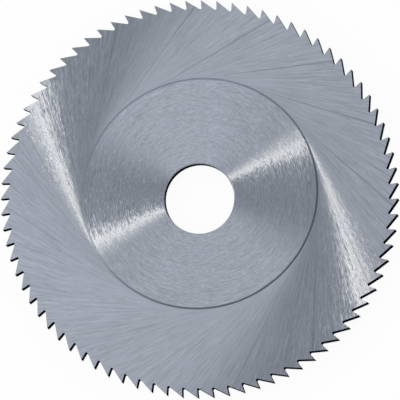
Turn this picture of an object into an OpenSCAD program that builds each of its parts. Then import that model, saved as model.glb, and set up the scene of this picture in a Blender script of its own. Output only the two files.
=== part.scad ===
// Metal slitting saw: a fine-toothed disc with hollow-ground sides, a raised hub and an arbor bore.
// The blade lies flat with its underside at z = 0, and the bore's axis is the Z axis.
// Seen from above the teeth cut counter-clockwise, and one tip points along +Y.

/* [Blade] */

// Diameter over the tooth tips, in mm
outer_d = 125; // [110:1:160]
// Width of the cut, across the tooth tips, in mm
cut_w = 6; // [2:0.5:6]
// Diameter of the arbor bore, in mm
bore_d = 22; // [16:1:32]
// Chamfer at both ends of the bore, in mm
bore_chamfer = 0.3; // [0.1:0.05:0.5]

/* [Teeth] */

// Number of teeth
teeth = 80; // [48:4:128]
// Rake of the cutting face, in degrees
rake = 6; // [0:0.5:10]
// Wedge angle between the cutting face and the back, in degrees
wedge = 49.5; // [45:0.5:55]
// Radius at the bottom of each gullet, in mm
gullet_r = 0.4; // [0.2:0.05:0.5]
// Flat side land left at each tip, measured along the radius, in mm
side_land = 0.5; // [0.3:0.1:1]

/* [Hub and hollow grinding] */

// Mean diameter of the hub, in mm
hub_d = 73; // [50:1:90]
// Long axis of the hub less its short axis, in mm
hub_oval = 2.2; // [0.2:0.1:3]
// Direction of the long axis from +X, in degrees
hub_oval_angle = 25; // [0:1:90]
// Run-out of the hub's edge from the bore along X, in mm
hub_run_x = 0.3; // [-2:0.1:2]
// Run-out of the hub's edge from the bore along Y, in mm
hub_run_y = 1.6; // [-2:0.1:2]
// Depth of the hollow grinding below the hub at its edge, on each side, in mm
hollow = 0.25; // [0.05:0.05:0.4]
// Width of the sloping step at the hub's edge, in mm
hub_edge_w = 0.5; // [0.1:0.05:1]

/* [Hidden] */

// Cutters run this far past the faces they cut, in mm
over = 2;
steel = [0.60, 0.63, 0.67];

tip_r = outer_d / 2;
bore_r = bore_d / 2;
hub_r = hub_d / 2;
pitch = 360 / teeth;
// Slope of a tooth's back below the tangent at its tip
back = 90 - rake - wedge;

// The gap in front of the tooth whose tip is on +Y, bounded by that tooth's face
// and by the back of the tooth ahead. Unit vectors point inwards from each tip.
face_dir = [sin(rake), -cos(rake)];
back_dir = [cos(back - pitch), -sin(back - pitch)];
face_tip = [0, tip_r];
back_tip = tip_r * [-sin(pitch), cos(pitch)];
gap_angle = wedge + pitch;
face_len = 2 * tip_r * sin(pitch / 2) * sin(back - pitch / 2) / sin(gap_angle);
gap_root = face_tip + face_len * face_dir;
// The gullet's arc touches both sides of the gap at this distance from the sharp root
touch = gullet_r / tan(gap_angle / 2);
gullet_c = gap_root - touch * face_dir + gullet_r * [-cos(rake), -sin(rake)];

// Hollow grinding rises from the hub's edge to the full width at the side lands
land_r = tip_r - side_land;
hollow_slope = hollow / (land_r - hub_r);
hub_run = norm([hub_run_x, hub_run_y]) + hub_oval / 2;
hub_stretch = hub_oval / (2 * hub_d);
// Run of the hub's step for each mm of its depth
hub_edge_run = hub_edge_w / hollow;

module saw_blade() {
    color(steel)
        difference() {
            linear_extrude(height = cut_w) toothed_disc();
            bore();
            translate([0, 0, cut_w]) hollow_grinding();
            mirror([0, 0, 1]) hollow_grinding();
        }
}

// Outline of the blade: a blank slightly larger than the tips, with every gap cut from it
module toothed_disc() {
    difference() {
        circle(r = tip_r + over / 4, $fn = 180);
        for (i = [0 : teeth - 1])
            rotate(i * pitch) tooth_gap();
    }
}

module tooth_gap() {
    polygon([
        gap_root - touch * face_dir,
        face_tip - over * face_dir,
        back_tip - over * back_dir,
        gap_root - touch * back_dir
    ]);
    translate(gullet_c) circle(r = gullet_r, $fn = 48);
}

// Through bore with a chamfer at each end
module bore() {
    rotate_extrude($fn = 128)
        polygon([
            [0, -over],
            [bore_r + bore_chamfer + over, -over],
            [bore_r, bore_chamfer],
            [bore_r, cut_w - bore_chamfer],
            [bore_r + bore_chamfer + over, cut_w + over],
            [0, cut_w + over]
        ]);
}

// Shallow cone ground into a side at z = 0, stopping at the hub with a sloping step
module hollow_grinding() {
    inner_r = hub_r - hub_run - hub_edge_w - over;
    outer_r = tip_r + over;
    difference() {
        rotate_extrude($fn = 180)
            polygon([
                [inner_r, -hollow_slope * (land_r - inner_r)],
                [outer_r, hollow_slope * (outer_r - land_r)],
                [outer_r, over],
                [inner_r, over]
            ]);
        hub_pad();
    }
}

// The hub as the grinding left it: a little oval and out of true with the bore
module hub_pad() {
    foot_r = hub_r + hub_edge_w / 2 + hub_edge_run * hollow;
    head_r = hub_r - hub_edge_w / 2 - hub_edge_run * over;
    translate([hub_run_x, hub_run_y, -2 * hollow])
        rotate(hub_oval_angle)
            scale([1 + hub_stretch, 1 - hub_stretch, 1])
                cylinder(h = 2 * hollow + over, r1 = foot_r, r2 = head_r, $fn = 180);
}

saw_blade();
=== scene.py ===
import math

import bpy
from mathutils import Matrix, Vector

mm = 0.001
inDegrees = 180 / math.pi
white = (1.0, 1.0, 1.0, 1.0)


class Wire:  # one output socket, with the sums a shader needs written as Python
    def __init__(self, graph, socket):
        self.graph = graph
        self.socket = socket

    def __add__(self, other):
        return self.graph.maths("ADD", self, other)

    def __radd__(self, other):
        return self.graph.maths("ADD", other, self)

    def __sub__(self, other):
        return self.graph.maths("SUBTRACT", self, other)

    def __rsub__(self, other):
        return self.graph.maths("SUBTRACT", other, self)

    def __mul__(self, other):
        return self.graph.maths("MULTIPLY", self, other)

    def __rmul__(self, other):
        return self.graph.maths("MULTIPLY", other, self)

    def __truediv__(self, other):
        return self.graph.maths("DIVIDE", self, other)

    def __rtruediv__(self, other):
        return self.graph.maths("DIVIDE", other, self)

    def __neg__(self):
        return self.graph.maths("MULTIPLY", self, -1.0)

    def __abs__(self):
        return self.graph.maths("ABSOLUTE", self)


class Graph:  # a node tree that is filled by expressions
    def __init__(self, tree):
        self.tree = tree
        tree.nodes.clear()

    def add(self, kind, settings=None, inputs=None, outputs=0):
        node = self.tree.nodes.new(kind)
        for name, value in (settings or {}).items():
            setattr(node, name, value)
        for name, value in (inputs or {}).items():
            if isinstance(value, Wire):
                self.tree.links.new(value.socket, node.inputs[name])
            else:
                node.inputs[name].default_value = value
        if isinstance(outputs, list):
            return [Wire(self, node.outputs[name]) for name in outputs]
        return Wire(self, node.outputs[outputs]) if node.outputs else None

    def maths(self, operation, *values):
        return self.add("ShaderNodeMath", {"operation": operation}, dict(enumerate(values)))

    def ease(self, value, start, end, low=0.0, high=1.0):  # smooth step from low to high
        settings = {"interpolation_type": "SMOOTHSTEP"}
        span = {"Value": value, "From Min": start, "From Max": end, "To Min": low, "To Max": high}
        return self.add("ShaderNodeMapRange", settings, span, "Result")

    def length(self, x, y):
        return self.maths("SQRT", x * x + y * y)

    def vector(self, x, y, z):
        return self.add("ShaderNodeCombineXYZ", inputs={"X": x, "Y": y, "Z": z})

    def noise(self, place, scale, detail, roughness):  # about -0.5 to 0.5
        inputs = {"Vector": place, "Scale": scale, "Detail": detail, "Roughness": roughness}
        return self.add("ShaderNodeTexNoise", inputs=inputs, outputs="Fac") - 0.5

    def tint(self, share, colour, other):  # colour times the other, by this share
        settings = {"data_type": "RGBA", "blend_type": "MULTIPLY"}
        return self.add("ShaderNodeMix", settings, {0: share, 6: colour, 7: other}, 2)

    def blend(self, share, first, second):  # two colours
        return self.add("ShaderNodeMix", {"data_type": "RGBA"}, {0: share, 6: first, 7: second}, 2)

    def mix(self, share, first, second):  # two shaders
        return self.add("ShaderNodeMixShader", inputs={0: share, 1: first, 2: second})


def between(share, first, second):
    return first + share * (second - first)


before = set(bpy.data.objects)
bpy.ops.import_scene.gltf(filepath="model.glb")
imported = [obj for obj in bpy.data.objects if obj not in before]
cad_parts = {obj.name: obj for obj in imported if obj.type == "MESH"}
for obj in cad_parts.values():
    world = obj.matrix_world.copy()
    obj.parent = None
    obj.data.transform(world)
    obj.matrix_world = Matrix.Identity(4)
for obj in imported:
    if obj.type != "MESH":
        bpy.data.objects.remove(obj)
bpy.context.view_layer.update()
bpy.ops.object.select_all(action="DESELECT")
print("frame loaded:", ", ".join(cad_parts))

blade = {
    # as the CAD has it, in mm
    "width": 6.0,
    "landRadius": 62.0,
    "hubRadius": 36.5,
    "hubCentre": (0.3, 1.6),
    "hubOval": 2.2,  # long axis less short axis
    "hubTurn": 25.0,  # degrees from +X to the long axis
    "hollow": 0.25,
    "edgeWidth": 0.5,
    "ringFrom": (-0.1, 0.1),  # from the hub's edge, where hub marks give way to ring marks
    # ground faces
    "steel": (0.397, 0.425, 0.473, 1.0),
    "roughness": 0.282,
    "anisotropy": 0.77,
    "grooveCentre": (0.05, 1.95),  # the hub's grooves run round this point
    "grooveTwist": -0.6,  # degrees
    "bow": (3.8, 20.0, 4.0),  # degrees the ring's grooves bend, from this mm out, least mm out
    "firstTurn": -15.0,  # degrees between the grooves and a circle about the bore
    "turnStep": 3.0,
    "turns": 26,
    # marks: how many to a radian and to a mm of a groove on the ring, to a mm of radius
    # and to a radian on the hub, then the noise's detail and roughness
    "lines": (46.0, 0.04, 1.6, 2.5, 3.0, 0.6),
    "hairs": (105.0, 0.12, 3.4, 6.0, 2.0, 0.8),
    "grains": (125.0, 0.55, 4.2, 20.0, 1.0, 0.7),
    "waver": (10.0, 9.0, 16.0, 250.0),  # degrees that lines, hairs, grains, sharpest grains stray
    "lift": 1.3,  # the lightest marks, against the middling steel
    "lineShade": 0.25,
    "hairShade": 0.85,
    "grainShade": (0.7, 0.25),  # on the hub and on the ring
    "cloud": (0.06, 3.0, 0.55),  # how many to a mm, detail, roughness
    "cloudShade": 0.1,
    "bump": (0.5, 0.02),  # strength, and depth in mm
    "scuff": 0.35,  # how far light grains lose the groove's gloss
    "scuffFrom": (0.02, 0.22),
    "plainRoughness": (0.3, 0.08, 0.12),  # where there is no groove, more by marks, more in the edge
    # painted shade in the step at the hub's edge: a dark line in the colour, for the shade the step
    # lies in
    "stepPaintedShade": 0.5,
    "stepPaintedShadeTint": (0.95, 1.0, 1.07, 1.0),
    "edgeFade": (0.35, 0.85),  # shares of the edge's width
    "edgeBare": (0.45, 0.55),
    # lines that the wheel left on the ring again and again
    "feedTurn": 24.43,  # degrees from one set to the next
    "feedStart": 48.8,
    "feedDrift": (0.85, 20.0),  # degrees that a set comes late, away from this angle
    "feedLines": [  # degrees within a set, depth
        (-10.2, 0.06),
        (-7.2, 0.07),
        (-3.5, 0.06),
        (-0.3, 0.27),
        (4.6, 0.06),
        (7.9, 0.04),
    ],
    "feedWidth": (0.1, 0.7),  # degrees, from a line's middle to where it has faded
    "feedDeepest": (75.0, 0.4),  # at this angle, and this share is lost a quarter turn from it
    # painted shade: the walls of the tooth gaps and the bore are painted near black, for the shade
    # they show
    "paintedWallShade": (0.008, 0.008, 0.009, 1.0),
    "paintedWallShadeRoughness": 0.8,
    "mottle": (0.9, 4.0, 0.6),  # how many to a mm, detail, roughness
    "mottleShade": 0.6,
    "sheen": 0.3,  # share of the steel's gloss that shows through
    "sheenFade": (0.5, 0.8),  # lost between these, where 0 is face on and 1 is edge on
    "sheenRoughness": 0.42,
    "toothDepth": (0.05, 0.08),  # mm below the face, and out from the bore's axis
    "toothReach": (40.0, 40.5),
    "boreDepth": (0.31, 0.34),
    "boreReach": (12.0, 12.5),
}


def grainedGloss(g, lean, normal):  # one gloss for each lean, so the highlight follows the grooves
    colour = [blade["lift"] * part for part in blade["steel"][:3]] + [1.0]
    step = (lean - blade["firstTurn"]) / blade["turnStep"]
    shader = None
    for i in range(blade["turns"]):
        gloss = g.add(
            "ShaderNodeBsdfAnisotropic",
            {"distribution": "GGX"},
            {
                "Color": colour,
                "Roughness": blade["roughness"],
                "Anisotropy": blade["anisotropy"],
                "Rotation": (blade["firstTurn"] + i * blade["turnStep"]) / 360,
                "Normal": normal,
            },
        )
        if shader is None:
            shader = gloss
        else:
            share = g.maths("MINIMUM", g.maths("MAXIMUM", step - (i - 1.0), 0.0), 1.0)
            shader = g.mix(share, shader, gloss)
    return shader


def paintedShadeWalls(g, place):  # painted shade: near-black dull walls, and the same with a little gloss that is lost edge on
    mottle = 1 + blade["mottleShade"] * g.noise(place, *blade["mottle"])
    colour = g.tint(1.0, blade["paintedWallShade"], g.vector(mottle, mottle, mottle))
    dull = g.add(
        "ShaderNodeBsdfPrincipled",
        inputs={
            "Base Color": colour,
            "Roughness": blade["paintedWallShadeRoughness"],
            "Specular IOR Level": 0.0,
        },
    )
    polish = g.add(
        "ShaderNodeBsdfAnisotropic",
        {"distribution": "GGX"},
        {"Color": blade["steel"], "Roughness": blade["sheenRoughness"]},
    )
    facing = g.add("ShaderNodeLayerWeight", inputs={"Blend": 0.5}, outputs="Facing")
    sheen = blade["sheen"] * mottle * (1 - g.ease(facing, *blade["sheenFade"]))
    return dull, g.mix(sheen, dull, polish)


def groundSteel():
    material = bpy.data.materials.new("groundSteel")
    material.use_nodes = True
    g = Graph(material.node_tree)
    coords = g.add("ShaderNodeTexCoord", outputs="Object")
    axes = g.add("ShaderNodeSeparateXYZ", inputs={"Vector": coords}, outputs=["X", "Y", "Z"])
    x, y, z = (axis / mm for axis in axes)
    place = g.vector(x, y, z)
    side = g.maths("SIGN", z - blade["width"] / 2)
    radius = g.length(x, y)

    # hub: an oval a little out of true with the bore
    hx, hy = x - blade["hubCentre"][0], y - blade["hubCentre"][1]
    turn = math.radians(blade["hubTurn"])
    stretch = blade["hubOval"] / (4 * blade["hubRadius"])
    longer, shorter = 1 + stretch, 1 - stretch
    along = (hx * math.cos(turn) + hy * math.sin(turn)) / longer
    across = (hy * math.cos(turn) - hx * math.sin(turn)) / shorter
    reach = g.length(along, across)
    fromEdge = reach - blade["hubRadius"]
    onRing = g.ease(fromEdge, *blade["ringFrom"])
    cx, cy = x - blade["grooveCentre"][0], y - blade["grooveCentre"][1]
    hubReach = g.length(cx, cy)
    hubX, hubY = cx / hubReach, cy / hubReach

    # ring: each groove is a straight line that touches the hub's edge
    cosine = g.maths("MINIMUM", blade["hubRadius"] / reach, 1.0)
    sine = side * g.maths("SQRT", 1 - cosine * cosine)
    touchA = (cosine * along - sine * across) / reach
    touchB = (cosine * across + sine * along) / reach
    travel = abs(sine) * reach  # along the groove from where it touches

    def nearness(angle):  # 1 where a groove touches at this angle, -1 half a turn away
        away = math.radians(angle) - turn
        return touchA * math.cos(away) + touchB * math.sin(away)

    # how far the grooves lean from a circle about the bore
    ringA, ringB = -touchB * longer, touchA * shorter
    ringX = ringA * math.cos(turn) - ringB * math.sin(turn)
    ringY = ringA * math.sin(turn) + ringB * math.cos(turn)
    grooveX = onRing * ringX - (1 - onRing) * hubY
    grooveY = onRing * ringY + (1 - onRing) * hubX
    outward = grooveX * x + grooveY * y
    around = grooveY * x - grooveX * y
    lean = side * g.maths("ARCTAN2", -outward, around) * inDegrees
    bend, bendFrom, leastTravel = blade["bow"]
    bentBy = g.maths("MAXIMUM", travel, leastTravel) / bendFrom
    bow = bend * g.maths("LOGARITHM", bentBy, math.e)
    lean = lean + onRing * bow + (1 - onRing) * blade["grooveTwist"]

    # grinding marks: straight on the ring and round on the hub
    def marks(perTurn, perTravel, perMm, perRound, detail, roughness):
        straight = g.vector(touchA * perTurn, touchB * perTurn, travel * perTravel)
        rounded = g.vector(hubReach * perMm, hubX * perRound, hubY * perRound)
        inputs = {0: onRing, 4: rounded, 5: straight}
        at = g.add("ShaderNodeMix", {"data_type": "VECTOR"}, inputs, 1)
        return g.noise(at, 1.0, detail, roughness)

    lines = marks(*blade["lines"])
    hairs = marks(*blade["hairs"])
    grains = marks(*blade["grains"])
    long, short, fine, sharp = blade["waver"]
    stray = lines * long + hairs * short + grains * fine + grains * grains * grains * sharp

    # single darker lines that come round with the feed
    late, lateFrom = blade["feedDrift"]
    touchAt = g.maths("ARCTAN2", touchB, touchA) * inDegrees
    touchAt = touchAt + blade["hubTurn"] - blade["feedStart"] + late * (1 - nearness(lateFrom))
    inSet = g.maths("WRAP", touchAt, blade["feedTurn"] / 2, -blade["feedTurn"] / 2)
    deep = sum(
        depth * (1 - g.ease(abs(inSet - at), *blade["feedWidth"])) for at, depth in blade["feedLines"]
    )
    deepest, lost = blade["feedDeepest"]
    deep = deep * onRing * (1 - lost * (1 - nearness(deepest)))

    # painted shade in the step at the hub's edge: a dark line in the colour, for the shade the step
    # lies in
    fromStep = abs(fromEdge) / blade["edgeWidth"]
    edge = 1 - g.ease(fromStep, *blade["edgeFade"])

    cloud = g.noise(place, *blade["cloud"])
    shade = 1 + lines * blade["lineShade"] + hairs * blade["hairShade"]
    shade = shade + grains * between(onRing, *blade["grainShade"]) + cloud * blade["cloudShade"]
    # the step's dark line is painted shade: it darkens the colour there and tints it bluish
    shade = shade * (1 - deep) * (1 - blade["stepPaintedShade"] * edge)
    colour = g.tint(1.0, blade["steel"], g.vector(shade, shade, shade))
    colour = g.tint(edge, colour, blade["stepPaintedShadeTint"])
    strength, depth = blade["bump"]
    height = (lines + hairs) / 2
    inputs = {"Strength": strength, "Distance": depth * mm, "Height": height}
    bump = g.add("ShaderNodeBump", inputs=inputs, outputs="Normal")

    # tooth gaps and bore, by their depth below the face; their walls are painted near black as shade
    below = g.maths("MINIMUM", z, blade["width"] - z)
    hollow = onRing * g.ease(radius, blade["hubRadius"], blade["landRadius"], blade["hollow"], 0.0)
    inTeeth = g.ease(below - hollow, *blade["toothDepth"]) * g.ease(radius, *blade["toothReach"])
    inBore = g.ease(below, *blade["boreDepth"]) * (1 - g.ease(radius, *blade["boreReach"]))
    onFace = 1 - g.maths("MAXIMUM", inTeeth, inBore)
    # the tooth gaps and the bore take the near-black painted shade
    dull, dark = paintedShadeWalls(g, place)
    ground = g.mix(shade / blade["lift"], dull, grainedGloss(g, lean + stray, bump))
    marked = g.mix(onFace, dark, ground)

    # the step at the hub's edge and the scuffed grains have no groove
    least, byMarks, inEdge = blade["plainRoughness"]
    plain = g.add(
        "ShaderNodeBsdfPrincipled",
        inputs={
            "Base Color": colour,
            "Metallic": 1.0,
            "Roughness": least + (lines + hairs) * byMarks + edge * inEdge,
            "Normal": bump,
        },
    )
    onStep = 1 - g.ease(fromStep, *blade["edgeBare"])
    scuffs = blade["scuff"] * g.ease(grains, *blade["scuffFrom"]) * onFace
    shader = g.mix(g.maths("MAXIMUM", onStep, scuffs), marked, plain)
    g.add("ShaderNodeOutputMaterial", inputs={"Surface": shader})
    return material


steelFinish = groundSteel()
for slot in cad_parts["saw_blade"].material_slots:
    slot.material = steelFinish
print("blade finished")

bench = {"size": 6.0, "drop": 0.02 * mm, "colour": (0.9, 0.9, 0.9, 1.0), "glow": 0.95}


def makeBench():
    bpy.ops.mesh.primitive_plane_add(size=bench["size"], location=(0, 0, -bench["drop"]))
    plane = bpy.context.active_object
    plane.name = "bench"
    material = bpy.data.materials.new("whiteBench")
    material.use_nodes = True
    g = Graph(material.node_tree)
    lit = g.add("ShaderNodeBsdfDiffuse", inputs={"Color": bench["colour"]})
    glow = g.add("ShaderNodeEmission", inputs={"Color": white, "Strength": 1.0})
    rays = ["Is Camera Ray", "Is Glossy Ray", "Is Transmission Ray"]
    seen, glossy, through = g.add("ShaderNodeLightPath", outputs=rays)
    share = g.maths("MAXIMUM", seen, g.maths("MAXIMUM", glossy, through)) * bench["glow"]
    g.add("ShaderNodeOutputMaterial", inputs={"Surface": g.mix(share, lit, glow)})
    plane.data.materials.append(material)


makeBench()
print("bench made")

tent = {
    "colour": (0.97, 0.99, 1.03, 1.0),
    "level": 0.805,  # overhead
    "horizon": 1.0,
    "even": (0.32, 0.62),  # heights: even all round below the first, not above the second
    "fall": 0.95,  # brighter towards the upper left, darker towards the lower right
    "fallFrom": 118.0,
    "openings": [(7.0, 1.0), (172.0, 0.47), (52.0, 0.3)],  # degrees from +X, how open
    "openingWidth": (9.0, 40.0),
    "room": (0.015, 0.03, 0.06, 1.0),  # seen through the openings
}


def makeTent():
    world = bpy.data.worlds.new("lightTent")
    bpy.context.scene.world = world
    world.use_nodes = True
    g = Graph(world.node_tree)
    way = g.add("ShaderNodeTexCoord", outputs="Generated")
    x, y, z = g.add("ShaderNodeSeparateXYZ", inputs={"Vector": way}, outputs=["X", "Y", "Z"])
    high = g.ease(z, *tent["even"])
    fall = math.radians(tent["fallFrom"])
    strength = between(z * z, tent["horizon"], tent["level"])
    strength = strength * (1 + tent["fall"] * high * (x * math.cos(fall) + y * math.sin(fall)))
    colour = tent["colour"]
    for at, share in tent["openings"]:
        middle = math.radians(at)
        ahead = x * math.cos(middle) + y * math.sin(middle)
        beside = abs(y * math.cos(middle) - x * math.sin(middle))
        angle = g.maths("ARCTAN2", beside, ahead) * inDegrees
        opening = share * high * (1 - g.ease(angle, *tent["openingWidth"]))
        colour = g.blend(opening, colour, tent["room"])
    light = g.add("ShaderNodeBackground", inputs={"Color": colour, "Strength": strength})
    g.add("ShaderNodeOutputWorld", inputs={"Surface": light})


keyLamp = {
    "colour": (1.0, 0.915, 0.785),
    "at": 194.0,  # degrees from +X
    "height": 42.0,  # degrees
    "distance": 2.2,
    "size": (0.09, 1.2),
    "power": 8.4,
}

sideBox = {  # a soft box close over the left of the blade
    "colour": (0.97, 0.99, 1.03),
    "at": (-71.0, 35.0, 150.0),  # mm
    "turn": 160.0,
    "size": (0.12, 0.25),
    "power": 0.016,
}


def addLamp(name, settings, place):
    bpy.ops.object.light_add(type="AREA", location=place)
    lamp = bpy.context.active_object
    lamp.name = name
    lamp.data.shape = "RECTANGLE"
    lamp.data.size, lamp.data.size_y = settings["size"]
    lamp.data.energy = settings["power"]
    lamp.data.color = settings["colour"]
    lamp.visible_camera = False
    return lamp


def makeKeyLamp():
    around, up = math.radians(keyLamp["at"]), math.radians(keyLamp["height"])
    flat = math.cos(up)
    way = Vector((math.cos(around) * flat, math.sin(around) * flat, math.sin(up)))
    lamp = addLamp("keyLamp", keyLamp, way * keyLamp["distance"])
    lamp.rotation_mode = "QUATERNION"
    lamp.rotation_quaternion = way.to_track_quat("Z", "Y")


def makeSideBox():
    lamp = addLamp("sideBox", sideBox, [part * mm for part in sideBox["at"]])
    lamp.rotation_euler = (0, 0, math.radians(sideBox["turn"]))


makeTent()
makeKeyLamp()
makeSideBox()
print("light set")

view = {
    "tilt": 7.8,  # degrees off the blade's axis, towards the lower right
    "towards": -45.0,
    "roll": -0.1,
    "frameWidth": 125.28,  # mm across the picture
    "aim": (0.26, -0.42),  # mm from the bore's centre to the picture's centre
    "distance": 4.0,
}


def makeCamera():
    tilt, towards, roll = (math.radians(view[name]) for name in ("tilt", "towards", "roll"))
    flat = math.sin(tilt)
    back = Vector((flat * math.cos(towards), flat * math.sin(towards), math.cos(tilt)))
    level = Vector((math.cos(roll), math.sin(roll), 0))
    right = (level - back * level.dot(back)).normalized()
    up = back.cross(right)
    aim = (right * view["aim"][0] + up * view["aim"][1]) * mm
    aim.z += blade["width"] * mm
    bpy.ops.object.camera_add(location=aim + back * view["distance"])
    camera = bpy.context.active_object
    camera.rotation_mode = "QUATERNION"
    camera.rotation_quaternion = Matrix((right, up, back)).transposed().to_quaternion()
    camera.data.type = "ORTHO"
    camera.data.ortho_scale = view["frameWidth"] * mm
    bpy.context.scene.camera = camera


makeCamera()
bpy.context.scene.view_settings.view_transform = "Standard"
print("camera set")
